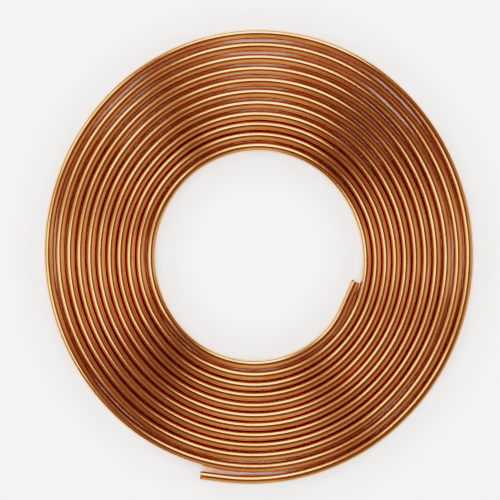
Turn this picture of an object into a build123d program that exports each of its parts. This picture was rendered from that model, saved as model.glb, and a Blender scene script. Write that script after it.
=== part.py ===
from build123d import *
import os
from math import sqrt

# A flat, single-layer coil of soft copper tube, lying on the floor. Millimetres, +Z up, with the
# origin on the floor under the middle of the coil. Seen from above, the tube is wound clockwise
# from the inside out. Its centre line is a chain of arcs, a quarter turn each, and each arc starts
# on the tangent of the one before it, at a point where the tube heads along a diagonal.

# Tube: half inch outside diameter
TUBE_OD = 12.7
TUBE_WALL = 0.81

# Winding
EYE_RADIUS = 132.0  # inside of the first turn, before it is pressed oval
TURN_GAPS = (1.8, 0.3, 0.2, 0.2, 0.3, 0.4, 0.6, 0.5, 0.8, 2.2, 1.4)  # where each turn is tightest
OVALITY = 11.5  # how much larger the side arcs' radius is than the upper and lower arcs', in the first turn
OVALITY_GROWTH = 1.7  # what each further turn adds to that
TRUE_TURNS = 4  # turns laid true, before the coil slips upwards
SLIP = 0.7  # how much larger the left arcs are than the right ones where it slips

# Inner end: bent in from the first turn, then straight until it almost touches the next turn
INNER_TIGHTENING = 22.5  # how much smaller the bend's radius is than the first arc's
INNER_BEND_ANGLE = 21
TIP_GAP = 0.3

# Outer end: springs open from the last turn, then runs straight
OUTER_SPRING = 7.5  # how much larger the last arc's radius is for it
OUTER_BEND_ANGLE = 52.5
OUTER_STRAIGHT = 30

tube_radius = TUBE_OD / 2
bore_radius = tube_radius - TUBE_WALL
diagonal = sqrt(0.5)
quarter = 90
quarters = 4 * len(TURN_GAPS)


def slip(step):
    return SLIP if step >= 4 * TRUE_TURNS else 0


def pitch(step):
    """How far one turn lies outside the last, on average, so that its tightest side keeps its gap."""
    lost_at_sides = (diagonal - 0.5) * OVALITY_GROWTH
    lost_below = 2 * diagonal * slip(step) - lost_at_sides
    return TUBE_OD + TURN_GAPS[step // 4] + max(lost_at_sides, lost_below)


def arc_radius(step):
    """The centre line's radius in one quarter turn: lower, left, upper, right and so on."""
    wound = sum(pitch(i) for i in range(step)) / 4
    oval = (OVALITY + OVALITY_GROWTH * step / 4) / 2
    is_side, is_left = step % 2 == 1, step % 4 == 1
    return EYE_RADIUS + tube_radius + wound + (oval if is_side else -oval) + (slip(step) if is_left else 0)


with BuildLine() as winding:
    arcs = [JernArc((0, 0), (-1, -1), arc_radius(0), -quarter)]
    for step in range(1, quarters):
        arcs.append(JernArc(arcs[-1] @ 1, arcs[-1] % 1, arc_radius(step), -quarter))
    outer_bend = JernArc(arcs[-1] @ 1, arcs[-1] % 1, arc_radius(quarters) + OUTER_SPRING, -OUTER_BEND_ANGLE)
    Line(outer_bend @ 1, outer_bend @ 1 + OUTER_STRAIGHT * (outer_bend % 1))
    inner_bend = JernArc((0, 0), (1, 1), arc_radius(0) - INNER_TIGHTENING, INNER_BEND_ANGLE)
    beside_tip = arcs[3]
    reach = beside_tip.radius - TUBE_OD - TIP_GAP
    limit = CenterArc(beside_tip.center_point, reach, 0, 360, mode=Mode.PRIVATE)
    PolarLine(inner_bend @ 1, limit, direction=inner_bend % 1)

middle = winding.line.bounding_box().center()
centre_line = Wire(winding.edges()).moved(Location((-middle.X, -middle.Y, tube_radius)))

with BuildPart() as copper_coil:
    with BuildSketch(Plane(origin=centre_line @ 0, z_dir=centre_line % 0)):
        Circle(tube_radius)
        Circle(bore_radius, mode=Mode.SUBTRACT)
    sweep(path=centre_line)

copper_coil.part.label = "copper_coil"
os.makedirs("parts", exist_ok=True)
export_step(copper_coil.part, "parts/copper_coil.step")
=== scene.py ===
import cmath
import math

import bpy
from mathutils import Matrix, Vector


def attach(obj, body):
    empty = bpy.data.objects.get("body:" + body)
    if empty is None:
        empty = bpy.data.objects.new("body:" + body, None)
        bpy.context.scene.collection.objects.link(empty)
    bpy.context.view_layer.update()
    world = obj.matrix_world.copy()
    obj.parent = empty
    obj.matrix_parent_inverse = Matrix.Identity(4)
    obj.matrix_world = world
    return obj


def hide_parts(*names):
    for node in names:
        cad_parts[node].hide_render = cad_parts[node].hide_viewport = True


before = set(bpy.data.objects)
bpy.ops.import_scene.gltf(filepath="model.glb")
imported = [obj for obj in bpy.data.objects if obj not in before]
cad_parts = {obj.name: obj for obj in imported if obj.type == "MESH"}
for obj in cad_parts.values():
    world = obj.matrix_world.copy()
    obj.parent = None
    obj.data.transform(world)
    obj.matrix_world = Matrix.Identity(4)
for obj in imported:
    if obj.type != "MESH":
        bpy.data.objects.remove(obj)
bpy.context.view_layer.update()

# The copper coil, in metres, in the CAD model's frame: +Z up, the floor at z = 0 and the origin under
# the middle of the coil. One finer mesh, a hollow tube with its two cut ends, stands for the CAD node.
# The dimensions of the tube, the winding and the two ends are the same as in part.py.

# Tube
TUBE_OD = 0.0127
TUBE_WALL = 0.00081

# Winding, clockwise from the inside out, in arcs of a quarter turn
EYE_RADIUS = 0.132  # inside of the first turn, before it is pressed oval
TURN_GAPS = (0.0018, 0.0003, 0.0002, 0.0002, 0.0003, 0.0004, 0.0006, 0.0005, 0.0008, 0.0022, 0.0014)
OVALITY = 0.0115  # the side arcs' radius less the upper and lower arcs', in the first turn
OVALITY_GROWTH = 0.0017  # what each further turn adds to that
TRUE_TURNS = 4  # turns laid true, before the coil slips upwards
SLIP = 0.0007  # how much larger the left arcs are than the right ones where it slips
FIRST_HEADING = math.radians(225)  # the tube's direction where the first turn begins

# Inner end: bent in from the first turn, then straight until it almost touches the next turn
INNER_TIGHTENING = 0.0225  # how much smaller the bend's radius is than the first arc's
INNER_BEND_ANGLE = math.radians(21)
BESIDE_TIP = 3  # the arc, counted from 0, that the tip almost touches
TIP_GAP = 0.0003

# Outer end: springs open from the last turn, then runs straight
OUTER_SPRING = 0.0075  # how much larger the last arc's radius is for it
OUTER_BEND_ANGLE = math.radians(52.5)
OUTER_STRAIGHT = 0.03

# Mesh
RING_ANGLE = math.radians(2.1)  # how much the tube turns from one ring of the mesh to the next
STRAIGHT_STEP = 0.004
OUTER_SIDES = 32
BORE_SIDES = OUTER_SIDES // 2

# Texture map: the unrolled tube in rows, with a band for its outside and one for its bore in each
MAP_ROWS = 14
ROW_START = 0.005  # this and the next as shares of the map's width
ROW_LENGTH = 0.98
OUTSIDE_BAND = (0.01, 0.52)  # (start, height), as shares of a row's height
BORE_BAND = (0.55, 0.44)
ENDS_ON_MAP = 0.99  # where the middle of both cut ends lies, beyond the rows
ENDS_SCALE = 0.1  # of the map to a metre

# A tube cutter's mark at each end: (distance from the end, how far the outside is rolled in)
CUT_MARK = ((0.0, 0.0007), (0.0003, 0.00045), (0.0008, 0.0002), (0.0014, 0.00006), (0.0022, 0.0))
CUT_LIP = 0.00025  # how far the bore's edge is pushed in at the very end

# A spur of metal on the inner end's rim: its angle and width go round the rim from the lowest point
BURR_LENGTH = 0.0016
BURR_ANGLE = math.radians(225)
BURR_WIDTH = 0.35

# Patterns on the metal: (waves to a metre round the tube, waves to a metre along it, detail)
LINES = (420, 1.2, 1.0)
HAIRLINES = (2600, 14, 3.0)
TARNISH = (110, 16, 5.0)
SCUFFS = (620, 210, 2.0)

# Colours of the metal, and how fully the darker ones cover it
BRIGHT_COPPER = (0.85, 0.49, 0.31, 1)
LINE_COPPER = (0.77, 0.41, 0.245, 1)
TARNISHED_COPPER = (0.62, 0.30, 0.17, 1)
SCUFFED_COPPER = (0.12, 0.06, 0.035, 1)
CUT_COPPER = (0.10, 0.045, 0.025, 1)
HAIRLINE_COVER = 0.6
TARNISH_COVER = 0.7
SCUFF_COVER = 0.85
CUT_COVER = 0.85

# Roughness between the hairlines and on them, and what the rest adds to it
SMOOTH = 0.09
HAIRLINE_ROUGHNESS = 0.18
TARNISH_ROUGHNESS = 0.08
SCUFF_ROUGHNESS = 0.25
CUT_ROUGHNESS = 0.2

# Depth of the lines that drawing left along the tube, and the finer marks' depths as shares of it
LINE_DEPTH = 0.00002
HAIRLINE_DEPTH = 0.25
SCUFF_DEPTH = 0.5

# Softboxes: (azimuth, elevation, width and height in degrees, as seen from the coil, and radiance)
SOFTBOXES = {
    "softbox_back": (86, 45, 36, 32, 2.4),
    "softbox_corner": (144, 48, 19, 32, 2.0),
    "softbox_left": (192, 53, 26, 32, 1.75),
}
SOFTBOX_COLOUR = (1.0, 0.86, 0.68)
LIGHT_DISTANCE = 4.0

# Walls of the studio, and the shares of their radiance that are left where they are dimmer
WALL_COLOUR = (1.0, 0.80, 0.60, 1)
WALL_RADIANCE = 0.68
OVERHEAD_RADIANCE = 0.23
OVERHEAD_SPREAD = 0.22  # how much further down the dim part overhead comes in the two lighter corners
DARK_CORNER = 0.4
LIGHT_CORNER = 0.8
WALL_FOOT = 0.6

# Floor: tinted warm as painted copper glow, so that the gaps between turns glow as if the copper lit
# them, and almost white under low, slightly blue lights
FLOOR_SIZE = 60.0
FLOOR_COLOUR_AND_GLOW = (0.92, 0.72, 0.60, 1)
FLOOR_ROUGHNESS = 0.9
FLOOR_LIGHT = 4.6
FLOOR_LIGHT_COLOUR = (0.52, 0.78, 1.0)
FLOOR_LIGHT_SPREAD = math.radians(10)
FLOOR_LIGHT_ELEVATION = 14
FLOOR_LIGHT_AZIMUTHS = range(0, 360, 45)

# Camera: straight down, with a long lens
VIEW_WIDTH = 0.66375  # what it sees across, at the height of the tube's middle
VIEW_CENTRE = (-0.0120, 0.0094)
LENS = 135.0
SENSOR = 36.0

tube_radius = TUBE_OD / 2
bore_radius = tube_radius - TUBE_WALL
deepest_mark = CUT_MARK[0][1]
diagonal = math.sqrt(0.5)
quarters = 4 * len(TURN_GAPS)


# ---------------------------------------------------------------- centre line
# Places in plan and headings are complex numbers here.

def slip(step):
    return SLIP if step >= 4 * TRUE_TURNS else 0


def pitch(step):
    """How far one turn lies outside the last, on average, so that its tightest side keeps its gap."""
    lost_at_sides = (diagonal - 0.5) * OVALITY_GROWTH
    lost_below = 2 * diagonal * slip(step) - lost_at_sides
    return TUBE_OD + TURN_GAPS[step // 4] + max(lost_at_sides, lost_below)


def arc_radius(step):
    """The centre line's radius in one quarter turn: lower, left, upper, right and so on."""
    wound = sum(pitch(i) for i in range(step)) / 4
    oval = (OVALITY + OVALITY_GROWTH * step / 4) / 2
    is_side = step % 2 == 1
    is_left = step % 4 == 1
    pressed = (oval if is_side else -oval) + (slip(step) if is_left else 0)
    return EYE_RADIUS + tube_radius + wound + pressed


def arc(place, heading, radius, angle):
    """The points of a clockwise arc and their headings, without its first."""
    centre = place - 1j * heading * radius
    count = max(1, math.ceil(abs(angle) / RING_ANGLE))
    turns = [cmath.exp(-1j * angle * i / count) for i in range(1, count + 1)]
    return [(centre + (place - centre) * turn, heading * turn) for turn in turns]


def straight(place, heading, length):
    """The points of a straight run and their headings, without its first."""
    count = max(1, math.ceil(length / STRAIGHT_STEP))
    return [(place + heading * length * i / count, heading) for i in range(1, count + 1)]


def room_ahead(place, heading, centre, reach):
    """How far a line can go from a place before it is as far from the centre as it may be."""
    start = place - centre
    ahead = (start * heading.conjugate()).real
    return math.sqrt(ahead * ahead + reach * reach - abs(start) ** 2) - ahead


def centre_line():
    """The tube's centre line round the origin, inner end first, as (place, heading) pairs."""
    first_heading = cmath.rect(1, FIRST_HEADING)
    line = [(0j, first_heading)]
    for step in range(quarters):
        if step == BESIDE_TIP:
            place, heading = line[-1]
            centre_beside_tip = place - 1j * heading * arc_radius(step)
        line += arc(*line[-1], arc_radius(step), math.pi / 2)
    line += arc(*line[-1], arc_radius(quarters) + OUTER_SPRING, OUTER_BEND_ANGLE)
    line += straight(*line[-1], OUTER_STRAIGHT)

    inner = arc(0j, -first_heading, INNER_TIGHTENING - arc_radius(0), -INNER_BEND_ANGLE)
    reach = arc_radius(BESIDE_TIP) - TUBE_OD - TIP_GAP
    inner += straight(*inner[-1], room_ahead(*inner[-1], centre_beside_tip, reach))
    line = [(place, -towards_tip) for place, towards_tip in reversed(inner)] + line

    across = [place.real for place, _ in line]
    along = [place.imag for place, _ in line]
    middle = complex(min(across) + max(across), min(along) + max(along)) / 2
    return [(place - middle, heading) for place, heading in line]


# ---------------------------------------------------------------- tube mesh

def with_cut_marks(line):
    """Adds the cut marks' rings, and gives each ring's place, heading and how far it is rolled in."""
    tip, tip_heading = line[0]
    tail, tail_heading = line[-1]
    start = [(tip + tip_heading * far, tip_heading, inset) for far, inset in CUT_MARK]
    end = [(tail - tail_heading * far, tail_heading, inset) for far, inset in reversed(CUT_MARK)]
    return start + [(place, heading, 0.0) for place, heading in line[1:-1]] + end


def distances_along(rings):
    distances = [0.0]
    for (place, _, _), (next_place, _, _) in zip(rings, rings[1:]):
        distances.append(distances[-1] + abs(next_place - place))
    return distances


def outside_and_bore(rings):
    """The outside's rings, then the bore's: number, sides, radius, and how far each is cut, 0 to 1."""
    for i, (_, _, inset) in enumerate(rings):
        yield i, OUTER_SIDES, tube_radius - inset, inset / deepest_mark
    for i in range(len(rings)):
        at_end = i in (0, len(rings) - 1)
        yield i, BORE_SIDES, bore_radius - (CUT_LIP if at_end else 0), float(at_end)


def angles_round(sides):
    return [2 * math.pi * i / sides for i in range(sides)]


def burr(angle):
    """How far the spur stands out from the inner end's rim: most at the top, on the side of the eye."""
    return BURR_LENGTH * math.exp(-((angle - BURR_ANGLE) / BURR_WIDTH) ** 2)


def ring(place, heading, radius, sides, has_burr):
    """A ring of points round the tube, from its lowest point."""
    left = 1j * heading
    points = []
    for angle in angles_round(sides):
        at = place + left * radius * math.sin(angle) - heading * (burr(angle) if has_burr else 0)
        points.append((at.real, at.imag, tube_radius - radius * math.cos(angle)))
    return points


def wall_faces(distances, first, sides, band):
    """The faces of the outside or the bore, facing out, and their corners on the texture map."""
    faces, on_map = [], []
    row_metres = distances[-1] / MAP_ROWS
    low, height = band
    for i in range(len(distances) - 1):
        row = min(MAP_ROWS - 1, int(distances[i] / row_metres))
        here, there = [ROW_START + ROW_LENGTH * (far / row_metres - row) for far in distances[i:i + 2]]
        for k in range(sides):
            a = first + i * sides + k
            b = first + i * sides + (k + 1) % sides
            under, over = [(row + low + height * j / sides) / MAP_ROWS for j in (k, k + 1)]
            faces.append((a, b, b + sides, a + sides))
            on_map.append(((here, under), (here, over), (there, over), (there, under)))
    return faces, on_map


def end_faces(i, bore_start):
    """The flat face of a cut end, in triangles between the outside's ring and the bore's, facing back."""
    faces = []
    for k in range(BORE_SIDES):
        a, b, c = [i * OUTER_SIDES + (2 * k + j) % OUTER_SIDES for j in (0, 1, 2)]
        inside, next_inside = [bore_start + i * BORE_SIDES + (k + j) % BORE_SIDES for j in (0, 1)]
        faces += [(a, inside, b), (b, next_inside, c), (b, inside, next_inside)]
    return faces


def end_on_map(face, unrolled):
    flat = [unrolled[corner] for corner in face]
    return [(ENDS_ON_MAP + ENDS_SCALE * across, ENDS_ON_MAP + ENDS_SCALE * up) for across, up, _ in flat]


def turned(faces):
    """The same faces, or their corners on the map, facing the other way."""
    return [face[::-1] for face in faces]


def add_object(name, data):
    """An object for a mesh, a light or a camera, in the scene."""
    made = bpy.data.objects.new(name, data)
    bpy.context.scene.collection.objects.link(made)
    return made


def copper_tube():
    """The tube's outside, bore and two end faces, in one closed mesh."""
    rings = with_cut_marks(centre_line())
    distances = distances_along(rings)
    points, unrolled, cut = [], [], []
    for i, sides, radius, cut_here in outside_and_bore(rings):
        place, heading, _ = rings[i]
        points += ring(place, heading, radius, sides, has_burr=i == 0)
        around = [(radius * math.sin(angle), -radius * math.cos(angle)) for angle in angles_round(sides)]
        unrolled += [(across, up, distances[i]) for across, up in around]
        cut += [cut_here] * sides

    bore_start = len(rings) * OUTER_SIDES
    outside, outside_on_map = wall_faces(distances, 0, OUTER_SIDES, OUTSIDE_BAND)
    bore, bore_on_map = wall_faces(distances, bore_start, BORE_SIDES, BORE_BAND)
    ends = end_faces(0, bore_start) + turned(end_faces(len(rings) - 1, bore_start))
    ends_on_map = [end_on_map(face, unrolled) for face in ends]
    on_map = outside_on_map + turned(bore_on_map) + ends_on_map

    mesh = bpy.data.meshes.new("copper_tube")
    mesh.from_pydata(points, [], outside + turned(bore) + ends)
    where = mesh.attributes.new("unrolled", "FLOAT_VECTOR", "POINT")
    where.data.foreach_set("vector", [number for place in unrolled for number in place])
    mesh.attributes.new("cut", "FLOAT", "POINT").data.foreach_set("value", cut)
    uv = mesh.uv_layers.new(name="OFBake")
    uv.data.foreach_set("uv", [number for face in on_map for corner in face for number in corner])
    mesh.shade_smooth()
    mesh.validate()
    return add_object("copper_tube", mesh)


# ---------------------------------------------------------------- material nodes

def node(tree, kind, **settings):
    made = tree.nodes.new("ShaderNode" + kind)
    for name, value in settings.items():
        setattr(made, name, value)
    return made


def math_node(tree, operation, *values):
    """A Math node on numbers and other nodes' outputs."""
    made = node(tree, "Math", operation=operation)
    for socket, value in zip(made.inputs, values):
        if isinstance(value, (int, float)):
            socket.default_value = value
        else:
            tree.links.new(value, socket)
    return made.outputs[0]


def faded(tree, value, start, end, at_start=0.0, at_end=1.0):
    """A number that changes smoothly as the value goes from start to end."""
    made = node(tree, "MapRange", interpolation_type="SMOOTHSTEP")
    tree.links.new(value, made.inputs[0])
    for socket, number in zip(made.inputs[1:5], (start, end, at_start, at_end)):
        socket.default_value = number
    return made.outputs[0]


def noise(tree, where, across, along, detail):
    """Noise on the unrolled tube, so many waves to a metre round the tube and so many along it."""
    stretch = node(tree, "VectorMath", operation="MULTIPLY")
    tree.links.new(where, stretch.inputs[0])
    stretch.inputs[1].default_value = (across, across, along)
    made = node(tree, "TexNoise")
    tree.links.new(stretch.outputs[0], made.inputs["Vector"])
    made.inputs["Scale"].default_value = 1.0
    made.inputs["Detail"].default_value = detail
    return made.outputs[0]


def mixed(tree, share, first, second):
    """A colour between two others, each a constant or another mix."""
    made = node(tree, "Mix", data_type="RGBA")
    tree.links.new(share, made.inputs[0])
    for socket, colour in zip(made.inputs[6:8], (first, second)):
        if isinstance(colour, tuple):
            socket.default_value = colour
        else:
            tree.links.new(colour, socket)
    return made.outputs[2]


# ---------------------------------------------------------------- copper

def copper():
    """Bright drawn copper: fine lines along the tube, faint tarnish, small scuffs and dark cut ends."""
    material = bpy.data.materials.new("copper")
    material.use_nodes = True
    tree = material.node_tree
    shader = tree.nodes["Principled BSDF"]
    shader.inputs["Metallic"].default_value = 1.0
    where = node(tree, "Attribute", attribute_name="unrolled").outputs["Vector"]
    cut = node(tree, "Attribute", attribute_name="cut").outputs["Fac"]

    lines = noise(tree, where, *LINES)
    hairlines = noise(tree, where, *HAIRLINES)
    tarnish = faded(tree, noise(tree, where, *TARNISH), start=0.42, end=0.66)
    scuffs = faded(tree, noise(tree, where, *SCUFFS), start=0.70, end=0.75)

    bright = faded(tree, lines, start=0.3, end=0.7)
    dull = faded(tree, hairlines, start=0.5, end=0.75, at_end=HAIRLINE_COVER)
    # Darker at the cut ends and on the rolled-in rim beside them.
    darker_ends = faded(tree, cut, start=0.05, end=0.6, at_end=CUT_COVER)
    colour = mixed(tree, bright, LINE_COPPER, BRIGHT_COPPER)
    colour = mixed(tree, dull, colour, TARNISHED_COPPER)
    colour = mixed(tree, math_node(tree, "MULTIPLY", tarnish, TARNISH_COVER), colour, TARNISHED_COPPER)
    colour = mixed(tree, math_node(tree, "MULTIPLY", scuffs, SCUFF_COVER), colour, SCUFFED_COPPER)
    colour = mixed(tree, darker_ends, colour, CUT_COPPER)
    tree.links.new(colour, shader.inputs["Base Color"])

    rough = faded(tree, hairlines, start=0.3, end=0.7, at_start=SMOOTH, at_end=HAIRLINE_ROUGHNESS)
    for pattern, more in ((tarnish, TARNISH_ROUGHNESS), (scuffs, SCUFF_ROUGHNESS), (cut, CUT_ROUGHNESS)):
        rough = math_node(tree, "MULTIPLY_ADD", pattern, more, rough)
    tree.links.new(rough, shader.inputs["Roughness"])

    height = math_node(tree, "MULTIPLY_ADD", hairlines, HAIRLINE_DEPTH, lines)
    height = math_node(tree, "MULTIPLY_ADD", scuffs, -SCUFF_DEPTH, height)
    bump = node(tree, "Bump")
    bump.inputs["Distance"].default_value = LINE_DEPTH
    tree.links.new(height, bump.inputs["Height"])
    tree.links.new(bump.outputs[0], shader.inputs["Normal"])
    return material


# ---------------------------------------------------------------- studio

def floor():
    material = bpy.data.materials.new("floor")
    material.use_nodes = True
    shader = material.node_tree.nodes["Principled BSDF"]
    # The floor's warm tint is painted copper glow for the gaps between turns.
    shader.inputs["Base Color"].default_value = FLOOR_COLOUR_AND_GLOW
    shader.inputs["Roughness"].default_value = FLOOR_ROUGHNESS
    shader.inputs["Specular IOR Level"].default_value = 0.0

    half = FLOOR_SIZE / 2
    corners = [(-half, -half, 0), (half, -half, 0), (half, half, 0), (-half, half, 0)]
    mesh = bpy.data.meshes.new("floor")
    mesh.from_pydata(corners, [], [(0, 1, 2, 3)])
    mesh.materials.append(material)
    add_object("floor", mesh)


def add_light(name, light, azimuth, elevation):
    """A light's object, facing the coil from that direction."""
    a = math.radians(azimuth)
    e = math.radians(elevation)
    direction = Vector((math.cos(a) * math.cos(e), math.sin(a) * math.cos(e), math.sin(e)))
    made = add_object(name, light)
    made.location = LIGHT_DISTANCE * direction
    made.rotation_euler = (-direction).to_track_quat("-Z", "Y").to_euler()
    return made


def softbox(name, azimuth, elevation, width, height, radiance):
    light = bpy.data.lights.new(name, "AREA")
    light.shape = "RECTANGLE"
    light.size = 2 * LIGHT_DISTANCE * math.tan(math.radians(width / 2))
    light.size_y = 2 * LIGHT_DISTANCE * math.tan(math.radians(height / 2))
    light.energy = radiance * math.pi * light.size * light.size_y
    light.color = SOFTBOX_COLOUR
    add_light(name, light, azimuth, elevation).visible_camera = False


def floor_light(azimuth):
    """A low light that only brightens the open floor: metal doesn't show it, and gaps don't let it in."""
    light = bpy.data.lights.new("floor_light", "SUN")
    light.energy = FLOOR_LIGHT
    light.angle = FLOOR_LIGHT_SPREAD
    light.color = FLOOR_LIGHT_COLOUR
    add_light("floor_light", light, azimuth, FLOOR_LIGHT_ELEVATION).visible_glossy = False


def studio_walls():
    """A pale room, dimmer overhead, at the foot of its walls and in its corners, most of all in two."""
    world = bpy.data.worlds.new("studio")
    bpy.context.scene.world = world
    world.use_nodes = True
    tree = world.node_tree
    background = tree.nodes["Background"]
    split = node(tree, "SeparateXYZ")
    tree.links.new(node(tree, "TexCoord").outputs["Generated"], split.inputs[0])
    x, y, z = split.outputs

    # The sine of twice the azimuth: 1 in the middle of the two darker corners, -1 in the lighter ones.
    # The 1.001 instead of 1 keeps it finite straight up and down.
    flat = math_node(tree, "SUBTRACT", 1.001, math_node(tree, "MULTIPLY", z, z))
    twice = math_node(tree, "MULTIPLY", math_node(tree, "MULTIPLY", x, y), 2)
    corner = math_node(tree, "DIVIDE", twice, flat)

    dark = faded(tree, corner, start=0.2, end=0.95, at_start=1.0, at_end=DARK_CORNER)
    light = faded(tree, corner, start=-0.2, end=-0.95, at_start=1.0, at_end=LIGHT_CORNER)
    foot = faded(tree, z, start=-0.1, end=0.4, at_start=WALL_FOOT)
    higher = math_node(tree, "ADD", z, faded(tree, corner, start=0.0, end=-1.0, at_end=OVERHEAD_SPREAD))
    strength = faded(tree, higher, start=0.84, end=0.97, at_start=WALL_RADIANCE, at_end=OVERHEAD_RADIANCE)
    for share in (dark, light, foot):
        strength = math_node(tree, "MULTIPLY", strength, share)
    tree.links.new(strength, background.inputs["Strength"])
    background.inputs["Color"].default_value = WALL_COLOUR


def camera():
    data = bpy.data.cameras.new("camera")
    data.lens = LENS
    data.sensor_width = SENSOR
    made = add_object("camera", data)
    made.location = (*VIEW_CENTRE, tube_radius + VIEW_WIDTH * LENS / SENSOR)
    bpy.context.scene.camera = made


tube = copper_tube()
tube.data.materials.append(copper())
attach(tube, "root")
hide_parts("copper_coil")

floor()
for name, settings in SOFTBOXES.items():
    softbox(name, *settings)
for azimuth in FLOOR_LIGHT_AZIMUTHS:
    floor_light(azimuth)
studio_walls()
camera()
bpy.context.scene.view_settings.view_transform = "Filmic"
bpy.context.scene.view_settings.look = "Very High Contrast"
